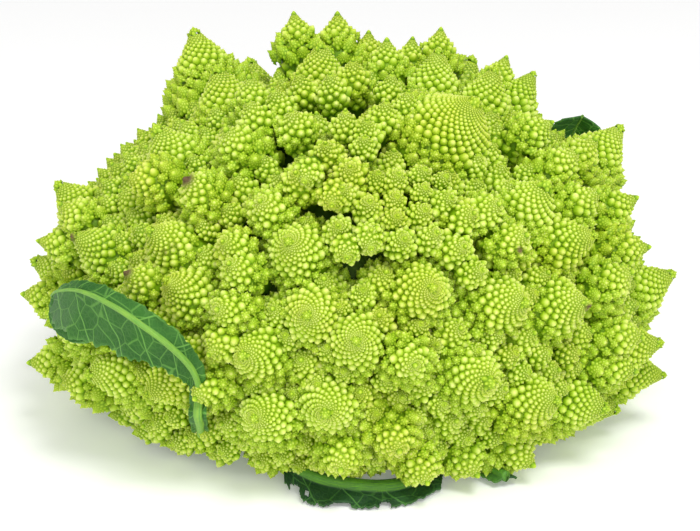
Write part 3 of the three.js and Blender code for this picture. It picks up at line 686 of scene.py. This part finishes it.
def dress_floret(soup, index, florets, rng):
    """Covers a floret in smaller cones, and drops those that its neighbours hide."""
    f = florets[index]
    leading = index == 0
    winding = 13 if leading else 8 if f["girth"] > COARSE_GIRTH else 5
    places, normals, spacing, share, beyond = windings(f, winding, BARE_TIP, SKIRT)
    raised = np.clip((share - 0.2) / 0.6, 0, 1)
    places = places + rng.normal(0, KNOB_SHIFT, places.shape) * (spacing * raised)[:, None]
    axes = unit(normals + KNOB_LEAN * f["axis"])
    facing = (f["tip"][1] < BACK_STARTS) & (normals @ TO_EYE > -0.15)
    shown = (places[:, 2] > LOWEST + 0.3 * spacing) & (spacing > np.where(facing, *FINEST))
    probes = places + normals * (0.35 * spacing)[:, None]
    for other, g in enumerate(florets):
        if other != index and math.dist(g["tip"], f["tip"]) < 2.3 * (g["length"] + f["length"]):
            shown &= ~is_inside(g, probes, 0.2)
    deep = np.linalg.norm((probes - DOME_CENTRE) / FLESH_RADII, axis=1) < 1
    shown &= ~deep
    shade = rng.random()
    soup.add(*core_cone(f), shade)
    add_cap(soup, f, shade)
    steps = LEADER_DETAIL if leading else NEAR_DETAIL
    kinds = np.searchsorted(steps, spacing)
    plainer = np.minimum(kinds, np.searchsorted(FAR_DETAIL, spacing))
    kinds = np.where(facing & (beyond < 0.3), kinds, plainer)
    for kind, name in enumerate(("speck", "bead", "ball", "knobbed", "rich", "grand")):
        chosen = shown & (kinds == kind)
        count = int(chosen.sum())
        rough = raised[chosen]
        scales = spacing[chosen] * KNOB_RADIUS * (1 + rough * rng.uniform(-KNOB_SIZES, KNOB_SIZES, count))
        sunk = np.where(kind < 2, 0.2, 0.24 - 0.16 * rough)
        seats = places[chosen] - normals[chosen] * (sunk * spacing[chosen])[:, None]
        wobble = unit(axes[chosen] + rng.normal(0, 0.03 + 0.07 * rough[:, None], (count, 3)))
        turns = rng.uniform(0, 2 * math.pi, count)
        # Painted shade: knobs below the rim are darker the further down they sit, and each varies a little at
        # random.
        dim = (1 - 0.5 * np.clip(beyond[chosen] / SKIRT, 0, 1)) * rng.uniform(0.9, 1.05, count)
        shades = np.clip(shade + rng.normal(0, KNOB_TONES, count), 0, 1)
        soup.add_copies(TEMPLATES[name], seats, wobble, scales, turns, dim, shades)


def region_of(f):
    """The piece that a floret belongs to, by where its tip is."""
    x, y, z = f["tip"]
    if y >= 28:
        return "curd_back_left" if x < 0 else "curd_back_right"
    if z > 82:
        return "curd_crown_left" if x < 5 else "curd_crown_right"
    if x < -48:
        return "curd_left"
    if x > 58:
        return "curd_right"
    return "curd_front_left" if x < 8 else "curd_front_right"


def ring_bands(count, around):
    """Triangles between each ring of points and the next, facing out where the rings go up."""
    triangles = []
    for a in range(0, (count - 1) * around, around):
        b = a + around
        for i in range(around):
            j = (i + 1) % around
            triangles += [(a + i, a + j, b + j), (a + i, b + j, b + i)]
    return triangles


def flesh_surface():
    """What the florets grow out of: a dome inside, and underneath it thick branches round the stalk."""
    around = 12 * BRANCHES
    angles = np.arange(around) * 2 * math.pi / around
    rings = []
    painted_shade_tones = []
    flattened = FLESH_RADII[1] / FLESH_RADII[0]
    for share in np.linspace(0, 1, BRANCH_RINGS):
        radius = STALK_TOP_RADIUS - 1 + (BRANCH_END + 1 - STALK_TOP_RADIUS) * share
        height = HOLLOW_TOP[1] + (HOLLOW_RIM[1] - HOLLOW_TOP[1]) * share
        wave = np.abs(np.sin(BRANCHES * angles / 2 + 2.2 * share)) ** 0.7
        relief = BRANCH_RELIEF * math.sin(math.pi * min(1, share + 0.12)) * (wave - 0.6)
        rings.append((radius, radius * 0.92, np.maximum(height - relief, 0.6)))
        # Painted shade: the branches are lighter on their ridges, darker in the grooves between them and
        # further out.
        painted_shade_tones.append(0.12 + 0.5 * wave * (1 - 0.4 * share))
    for share in np.linspace(0.06, 1, DOME_RINGS):
        angle = math.pi / 2 * share - 0.6 * (1 - share)
        radius = FLESH_RADII[0] * math.cos(angle)
        height = DOME_CENTRE[2] + FLESH_RADII[2] * math.sin(angle)
        rings.append((radius, radius * flattened, np.full(around, height)))
        # Painted shade: the dome inside, under the florets, is nearly the darkest, its lowest band a little
        # lighter.
        painted_shade_tones.append(np.full(around, 0.2 if share < 0.25 else 0.02))
    placed = [[wide * np.cos(angles), deep * np.sin(angles), height] for wide, deep, height in rings]
    vertices = np.concatenate([np.stack(ring, axis=1) for ring in placed])
    return vertices, np.array(ring_bands(len(rings), around)), np.concatenate(painted_shade_tones)


def build_curd():
    florets = all_florets()
    rng = np.random.default_rng(5)
    soups = {"curd_branches": Soup()}
    soups["curd_branches"].add(*flesh_surface(), 0.8)
    for index, f in enumerate(florets):
        dress_floret(soups.setdefault(region_of(f), Soup()), index, florets, rng)
    material = curd_material()
    for name, soup in soups.items():
        soup.piece(name, material)


# The leaves
def along_curve(points, u):
    """A smooth curve through the points, at shares u of the way."""
    points = np.array(points, dtype=float)
    padded = np.concatenate([[2 * points[0] - points[1]], points, [2 * points[-1] - points[-2]]])
    place = np.clip(u, 0, 1) * (len(points) - 1)
    start = np.minimum(place.astype(int), len(points) - 2)
    t = (place - start)[:, None]
    p0, p1, p2, p3 = (padded[start + k] for k in range(4))
    square = 2 * p0 - 5 * p1 + 4 * p2 - p3
    cube = 3 * p1 - p0 - 3 * p2 + p3
    return 0.5 * (2 * p1 + (p2 - p0) * t + square * t**2 + cube * t**3)


def layered_noise(u, seed, frequencies, amplitudes):
    """Waves of several lengths, each starting anywhere."""
    rng = np.random.default_rng(seed)
    return sum(a * np.sin(2 * math.pi * (k * u + rng.random())) for k, a in zip(frequencies, amplitudes))


def leaf_mesh(near, rib, far, rib_width, rib_thickness, rows, seed, ripple, tears=(), fleshy_far=0.0):
    """A blade on either side of a rib, thin, wavy and frayed along its edges.

    u runs from the tip to the foot, and v from -1 at the near edge by 0 at the rib to 1 at the far edge.
    tears are [u, v, length, width] to leave out. fleshy_far is how much of a stem the far side is."""
    u = np.linspace(0, 1, rows)
    a, middle, b = (along_curve(line, u) for line in (near, rib, far))
    tangent = unit(np.gradient(middle, axis=0))
    half_rib = (rib_width[0] + (rib_width[1] - rib_width[0]) * u) / 2
    half_thick = (rib_thickness[0] + (rib_thickness[1] - rib_thickness[0]) * u) / 2
    length = np.concatenate([[0], np.cumsum(np.linalg.norm(np.diff(middle, axis=0), axis=1))])
    columns = [(-1, v, None) for v in ACROSS_BLADE]
    columns += [(0, 0, w) for w in ACROSS_RIB]
    columns += [(1, v, None) for v in ACROSS_BLADE[::-1]]
    centre = np.zeros((rows, len(columns), 3))
    half = np.zeros((rows, len(columns)))
    off = np.zeros((rows, len(columns)))
    for j, (side, v, w) in enumerate(columns):
        if side == 0:
            way = unit(b - middle) if w > 0 else unit(a - middle)
            centre[:, j] = middle + way * (abs(w) * half_rib)[:, None]
            half[:, j] = np.maximum(BLADE_HALF, half_thick * math.sqrt(1 - w * w))
            off[:, j] = w * half_rib
            continue
        edge = a if side < 0 else b
        out = edge - middle
        width = np.maximum(np.linalg.norm(out, axis=1), half_rib * 1.5)
        out = unit(out)
        up = unit(np.cross(out, tangent))
        fray = layered_noise(u, 10 * seed + side, (9, 17, 31, 47), (0.03, 0.035, 0.03, 0.03)) * v**4
        spread = half_rib + (width * (0.99 + fray) - half_rib) * v
        wave = layered_noise(u + 0.03 * v, 20 * seed + side, (3, 6, 13), ripple) * v**1.6
        wave = wave * np.minimum(1, width / 9)
        puff = 0.25 * np.sin(2 * math.pi * (length + 0.9 * spread) / VEIN_SPACING) * math.sin(math.pi * v)
        centre[:, j] = middle + out * spread[:, None] + up * (wave + puff)[:, None]
        half[:, j] = BLADE_HALF
        off[:, j] = side * spread
    normal = unit(np.cross(np.gradient(centre, axis=0), np.gradient(centre, axis=1)))
    faces = [centre + normal * half[..., None], centre - normal * half[..., None]]
    vertices = np.concatenate([face.reshape(-1, 3) for face in faces])
    across = len(columns)
    count = rows * across
    row, column = np.meshgrid(np.arange(rows - 1), np.arange(across - 1), indexing="ij")
    v_of = np.array([side * v for side, v, _ in columns])
    middle_u = (u[row] + u[row + 1]) / 2
    middle_v = (v_of[column] + v_of[column + 1]) / 2
    kept = np.ones(row.shape, dtype=bool)
    for at_u, at_v, long, wide in tears:
        ragged = 1 + 0.25 * np.sin(40 * middle_u + 9 * middle_v)
        kept &= ((middle_u - at_u) / long) ** 2 + ((middle_v - at_v) / wide) ** 2 > ragged
    at = row * across + column
    corners = np.stack([at, at + across, at + across + 1, at + 1], axis=-1)
    quads = [corners[kept], corners[kept][:, ::-1] + count]
    padded = np.pad(kept, 1)
    for di, dj, first, second in ((-1, 0, 0, 3), (1, 0, 2, 1), (0, -1, 1, 0), (0, 1, 3, 2)):
        rim = ~padded[1 + di : padded.shape[0] - 1 + di, 1 + dj : padded.shape[1] - 1 + dj] & kept
        p, q = corners[rim][:, first], corners[rim][:, second]
        quads.append(np.stack([p, q, q + count, p + count], axis=1))
    quads = np.concatenate(quads)
    triangles = np.concatenate([quads[:, [0, 1, 2]], quads[:, [0, 2, 3]]])
    stem = np.array([1.0 if side == 0 else fleshy_far * (side > 0) for side, _, _ in columns])
    values = {
        "along": np.tile(np.repeat(length, len(columns)), 2),
        "off": np.tile(off.reshape(-1), 2),
        "edge": np.tile(np.abs(v_of), rows * 2),
        "rib": np.tile(stem, rows * 2),
    }
    return vertices, triangles, values


def joined(meshes):
    """Several leaf meshes as one."""
    vertices, triangles, values, count = [], [], {}, 0
    for more_vertices, more_triangles, more_values in meshes:
        vertices.append(more_vertices)
        triangles.append(more_triangles + count)
        count += len(more_vertices)
        for key, numbers in more_values.items():
            values.setdefault(key, []).append(numbers)
    values = {key: np.concatenate(numbers) for key, numbers in values.items()}
    return np.concatenate(vertices), np.concatenate(triangles), values


def as_seen(lines):
    return [seen_on_dome(across, up) + TO_EYE * nearer for across, up, nearer in lines]


def build_leaves():
    young = leaf_material(
        "leaf_green",
        dark=(0.018, 0.1, 0.01),
        light=(0.05, 0.19, 0.022),
        vein=(0.14, 0.35, 0.055),
        rib=(0.25, 0.46, 0.06),
    )
    torn = leaf_material(
        "leaf_torn",
        dark=(0.01, 0.045, 0.014),
        light=(0.03, 0.1, 0.028),
        vein=(0.07, 0.2, 0.04),
        rib=(0.14, 0.36, 0.025),
    )
    left = {}
    for side, foot in LEAF_LEFT_FOOT.items():
        left[side] = as_seen(LEAF_LEFT[side]) + [np.array(point) for point in foot]
    curl = {side: as_seen(line) for side, line in LEAF_LEFT_CURL.items()}
    left_mesh = joined([leaf_mesh(**left, **LEFT_MAKE), leaf_mesh(**curl, **CURL_MAKE)])
    front_mesh = leaf_mesh(**LEAF_FRONT, **FRONT_MAKE, tears=FRONT_TEARS, fleshy_far=FRONT_FLESHY)
    back_mesh = leaf_mesh(**LEAF_BACK, **BACK_MAKE)
    stub_mesh = leaf_mesh(**LEAF_STUB, **STUB_MAKE, fleshy_far=STUB_FLESHY)
    for name, node, material, (vertices, triangles, values) in (
        ("leaf_left_blade", "leaf_left", young, left_mesh),
        ("leaf_front_blade", "leaf_front", torn, front_mesh),
        ("leaf_back_blade", "leaf_back", young, back_mesh),
        ("leaf_stub_stem", "leaf_stub", torn, stub_mesh),
    ):
        vertices[:, 2] = np.maximum(vertices[:, 2], LEAST_HEIGHT)
        make_piece(name, vertices, triangles, values, material, node)


# The stalk
def build_stalk():
    """Cut flat below, a little fluted, with the scars of the leaves that were taken off."""
    around, up = 96, 18
    angles = np.arange(around) * 2 * math.pi / around
    rng = np.random.default_rng(11)
    rings = [(share * STALK_RADIUS, 0.1 + 0.15 * (1 - share)) for share in np.linspace(0.06, 0.97, 12)]
    rings += [(None, z) for z in np.linspace(0.45, STALK_TOP, up)]
    scars = []
    for _ in range(LEAF_SCARS):
        scars.append((rng.random() * 2 * math.pi, 2.5 + 7 * rng.random(), 0.22 + 0.12 * rng.random()))
    vertices, radial, scarred = [], [], []
    for radius, z in rings:
        scar = np.zeros(around)
        if radius is None:
            body = STALK_RADIUS + (STALK_TOP_RADIUS - STALK_RADIUS) * np.clip(z / STALK_TOP * 2 - 1, 0, 1)
            flutes = 0.25 * np.sin(7 * angles + 0.2 * z) + 0.12 * np.sin(17 * angles)
            for angle, height, wide in scars:
                turn = (angles - angle + math.pi) % (2 * math.pi) - math.pi
                scar = np.maximum(scar, np.clip(1.4 - np.hypot(turn / wide, (z - height) / 1.6), 0, 1))
            reach = body - 0.35 + flutes - 0.55 * scar - 0.5 * max(0, 1 - z)
            radial.append(np.full(around, 1.0))
        else:
            reach = np.full(around, radius) * (1 + 0.008 * np.sin(7 * angles))
            radial.append(np.full(around, radius / STALK_RADIUS * 0.97))
        scarred.append(scar)
        ring = [reach * np.cos(angles), reach * np.sin(angles), np.full(around, z)]
        vertices.append(np.stack(ring, axis=1))
    vertices = np.concatenate(vertices + [[[0, 0, 0.25], [0, 0, STALK_TOP]]])
    bottom, top = len(vertices) - 2, len(vertices) - 1
    triangles = ring_bands(len(rings), around)
    last = (len(rings) - 1) * around
    for i in range(around):
        j = (i + 1) % around
        triangles += [(bottom, j, i), (top, last + i, last + j)]
    values = {
        "radial": np.append(np.concatenate(radial), [0.0, 1.0]),
        "scar": np.append(np.concatenate(scarred), [0.0, 0.0]),
    }
    make_piece("stalk_cut", vertices, np.array(triangles), values, stalk_material(), "stalk")


# Materials
class Graph:
    """Short ways to set out the nodes of one material."""

    def __init__(self, name):
        self.material = bpy.data.materials.new(name)
        self.material.use_nodes = True
        self.nodes = self.material.node_tree.nodes
        self.links = self.material.node_tree.links
        self.shader = self.nodes["Principled BSDF"]
        self.place = self.nodes.new("ShaderNodeTexCoord").outputs["Object"]

    def attribute(self, name):
        node = self.nodes.new("ShaderNodeAttribute")
        node.attribute_name = name
        return node.outputs["Fac"]

    def noise(self, scale, detail=2.0, vector=None):
        node = self.nodes.new("ShaderNodeTexNoise")
        node.inputs["Scale"].default_value = scale
        node.inputs["Detail"].default_value = detail
        self.links.new(vector or self.place, node.inputs["Vector"])
        return node.outputs["Fac"]

    def wavering(self, scale, detail, amount):
        """Noise about 0, up to half of amount either way."""
        return self.math("MULTIPLY", self.math("SUBTRACT", self.noise(scale, detail), 0.5), amount)

    def math(self, operation, *values):
        node = self.nodes.new("ShaderNodeMath")
        node.operation = operation
        for socket, value in zip(node.inputs, values):
            if isinstance(value, (int, float)):
                socket.default_value = value
            else:
                self.links.new(value, socket)
        return node.outputs[0]

    def vector(self, x, y):
        node = self.nodes.new("ShaderNodeCombineXYZ")
        self.links.new(x, node.inputs[0])
        self.links.new(y, node.inputs[1])
        return node.outputs[0]

    def ramp(self, value, stops):
        node = self.nodes.new("ShaderNodeValToRGB")
        elements = node.color_ramp.elements
        while len(elements) < len(stops):
            elements.new(0.5)
        for element, (position, colour) in zip(elements, stops):
            element.position = position
            element.color = (*colour, 1)
        self.links.new(value, node.inputs["Fac"])
        return node.outputs["Color"]

    def fade(self, value, low, high):
        node = self.nodes.new("ShaderNodeMapRange")
        node.interpolation_type = "SMOOTHSTEP"
        node.inputs["From Min"].default_value = low
        node.inputs["From Max"].default_value = high
        self.links.new(value, node.inputs["Value"])
        return node.outputs["Result"]

    def mix(self, factor, first, second, blend="MIX"):
        node = self.nodes.new("ShaderNodeMix")
        node.data_type = "RGBA"
        node.blend_type = blend
        sockets = (node.inputs["Factor"], node.inputs[6], node.inputs[7])
        for socket, value in zip(sockets, (factor, first, second)):
            if isinstance(value, tuple):
                socket.default_value = (*value, 1)
            elif isinstance(value, float):
                socket.default_value = value
            else:
                self.links.new(value, socket)
        return node.outputs[2]

    def bump(self, height, strength, distance):
        node = self.nodes.new("ShaderNodeBump")
        node.inputs["Strength"].default_value = strength
        node.inputs["Distance"].default_value = distance
        self.links.new(height, node.inputs["Height"])
        self.links.new(node.outputs["Normal"], self.shader.inputs["Normal"])

    def finish(self, colour, roughness, specular, subsurface, radius):
        self.links.new(colour, self.shader.inputs["Base Color"])
        self.shader.inputs["Roughness"].default_value = roughness
        self.shader.inputs["Specular IOR Level"].default_value = specular
        self.shader.inputs["Subsurface Weight"].default_value = subsurface
        self.shader.inputs["Subsurface Radius"].default_value = radius
        self.shader.inputs["Subsurface Scale"].default_value = 0.0015
        return self.material


def curd_material():
    g = Graph("curd_flesh")
    painted_shade_tone = g.math("ADD", g.attribute("painted_shade_tone"), g.wavering(160, 3, 0.3))
    # From dark green, the painted shade down in the crevices and gaps, up to the pale yellow-green of the
    # tips.
    colour = g.ramp(painted_shade_tone, [
        (0.0, (0.055, 0.15, 0.0015)),
        (0.22, (0.2, 0.38, 0.003)),
        (0.55, (0.45, 0.64, 0.035)),
        (1.0, (0.76, 0.84, 0.25)),
    ])
    paler = g.math("MULTIPLY", g.attribute("shade"), g.fade(g.noise(45, 3), 0.35, 0.65))
    colour = g.mix(paler, colour, (1.0, 0.93, 0.72), "MULTIPLY")
    tan = g.math("MULTIPLY", g.fade(g.noise(38, 2), 0.62, 0.72), g.fade(g.attribute("painted_shade_tone"), 0.5, 1.0))
    colour = g.mix(g.math("MULTIPLY", tan, 0.4), colour, (0.62, 0.58, 0.2))
    colour = g.mix(g.attribute("blemish"), colour, (0.13, 0.08, 0.035))
    g.bump(g.noise(1400), 0.35, 0.0002)
    return g.finish(colour, 0.5, 0.24, 0.3, (1.0, 1.1, 0.25))


def leaf_material(name, dark, light, vein, rib):
    g = Graph(name)
    along, off, edge = (g.attribute(key) for key in ("along", "off", "edge"))
    aside = g.math("ABSOLUTE", off)
    wander = g.wavering(60, 1, 5)
    slant = g.math("ADD", g.math("MULTIPLY", aside, -0.8), g.math("ADD", along, wander))
    band = g.math("ABSOLUTE", g.math("SUBTRACT", g.math("FRACT", g.math("DIVIDE", slant, VEIN_SPACING)), 0.5))
    side_vein = g.math("SUBTRACT", 1.0, g.fade(band, 0.008, 0.035))
    cells = g.nodes.new("ShaderNodeTexVoronoi")
    cells.feature = "DISTANCE_TO_EDGE"
    cells.inputs["Scale"].default_value = 0.145
    g.links.new(g.vector(g.math("ADD", along, wander), off), cells.inputs["Vector"])
    net = g.math("SUBTRACT", 1.0, g.fade(cells.outputs["Distance"], 0.008, 0.04))
    small = g.nodes.new("ShaderNodeTexVoronoi")
    small.feature = "DISTANCE_TO_EDGE"
    small.inputs["Scale"].default_value = 0.6
    g.links.new(g.vector(along, off), small.inputs["Vector"])
    fine = g.math("SUBTRACT", 1.0, g.fade(small.outputs["Distance"], 0.02, 0.12))
    veins = g.math("MAXIMUM", side_vein, g.math("MULTIPLY", net, 0.6))
    veins = g.math("MULTIPLY", veins, g.math("SUBTRACT", 1.0, g.attribute("rib")))
    body = g.mix(g.fade(g.noise(35, 4), 0.3, 0.7), dark, light)
    body = g.mix(g.math("MULTIPLY", fine, 0.12), body, vein)
    body = g.mix(g.math("MULTIPLY", g.fade(edge, 0.9, 1.0), 0.35), body, vein)
    body = g.mix(veins, body, vein)
    fibres = g.noise(9, 3, g.vector(g.math("MULTIPLY", along, 0.02), off))
    stem = g.mix(g.fade(fibres, 0.35, 0.65), rib, vein)
    colour = g.mix(g.attribute("rib"), body, stem)
    grain = g.math("ADD", g.math("MULTIPLY", fine, 0.25), g.noise(500))
    g.bump(g.math("ADD", g.math("MULTIPLY", veins, 0.8), grain), 0.5, 0.0004)
    return g.finish(colour, 0.5, 0.25, 0.1, (0.4, 1.0, 0.3))


def stalk_material():
    g = Graph("stalk_pale")
    rind = g.mix(g.noise(180, 3), (0.35, 0.5, 0.14), (0.55, 0.65, 0.3))
    fibres = g.fade(g.noise(700, 2), 0.3, 0.7)
    pith = g.ramp(g.math("ADD", g.attribute("radial"), g.wavering(120, 2, 0.06)), [
        (0.0, (0.72, 0.74, 0.5)),
        (0.55, (0.66, 0.72, 0.42)),
        (0.74, (0.4, 0.55, 0.2)),
        (0.8, (0.62, 0.68, 0.38)),
        (0.95, (0.35, 0.52, 0.15)),
    ])
    pith = g.mix(g.math("MULTIPLY", fibres, 0.3), pith, (0.5, 0.5, 0.28))
    colour = g.mix(g.fade(g.attribute("radial"), 0.96, 1.0), pith, rind)
    colour = g.mix(g.attribute("scar"), colour, (0.42, 0.36, 0.2))
    g.bump(g.noise(900, 3), 0.5, 0.0003)
    return g.finish(colour, 0.6, 0.3, 0.2, (1.0, 1.0, 0.5))


# The room
def stage():
    size = 3.0
    mesh = bpy.data.meshes.new("floor")
    corners = [(-size, -size, FLOOR), (size, -size, FLOOR), (size, size, FLOOR), (-size, size, FLOOR)]
    mesh.from_pydata(corners, [], [(0, 1, 2, 3)])
    floor = bpy.data.objects.new("floor", mesh)
    bpy.context.collection.objects.link(floor)
    g = Graph("floor_white")
    g.shader.inputs["Emission Color"].default_value = (1, 1, 1, 1)
    g.shader.inputs["Emission Strength"].default_value = FLOOR_GLOW
    white = g.mix(g.noise(8, 2), (0.92, 0.92, 0.915), (0.94, 0.94, 0.935))
    mesh.materials.append(g.finish(white, 0.7, 0.3, 0.0, (1, 1, 1)))
    world = bpy.data.worlds.new("soft_white")
    bpy.context.scene.world = world
    world.use_nodes = True
    background = world.node_tree.nodes["Background"]
    background.inputs["Color"].default_value = (1, 1, 1, 1)
    background.inputs["Strength"].default_value = SKY
    for name, place, spread, power in LIGHTS:
        add_light(name, place, spread, power)


def add_light(name, place, spread, power):
    data = bpy.data.lights.new(name, "AREA")
    data.size = spread
    data.energy = power
    light = bpy.data.objects.new(name, data)
    light.location = place
    aim = unit(np.array([0, 0, 0.05]) - np.array(place))
    light.rotation_euler = (math.acos(-aim[2]), 0, math.atan2(aim[1], aim[0]) - math.pi / 2)
    bpy.context.collection.objects.link(light)


def add_camera():
    data = bpy.data.cameras.new("camera")
    data.sensor_width = SENSOR
    data.lens = SENSOR * EYE_DISTANCE / VIEW_WIDTH
    camera = bpy.data.objects.new("camera", data)
    camera.location = EYE * MM
    camera.rotation_euler = (math.pi / 2 - SIGHT_TILT, 0, 0)
    bpy.context.collection.objects.link(camera)
    bpy.context.scene.camera = camera
    bpy.context.scene.view_settings.view_transform = "Standard"


add_camera()
stage()
build_curd()
build_leaves()
build_stalk()
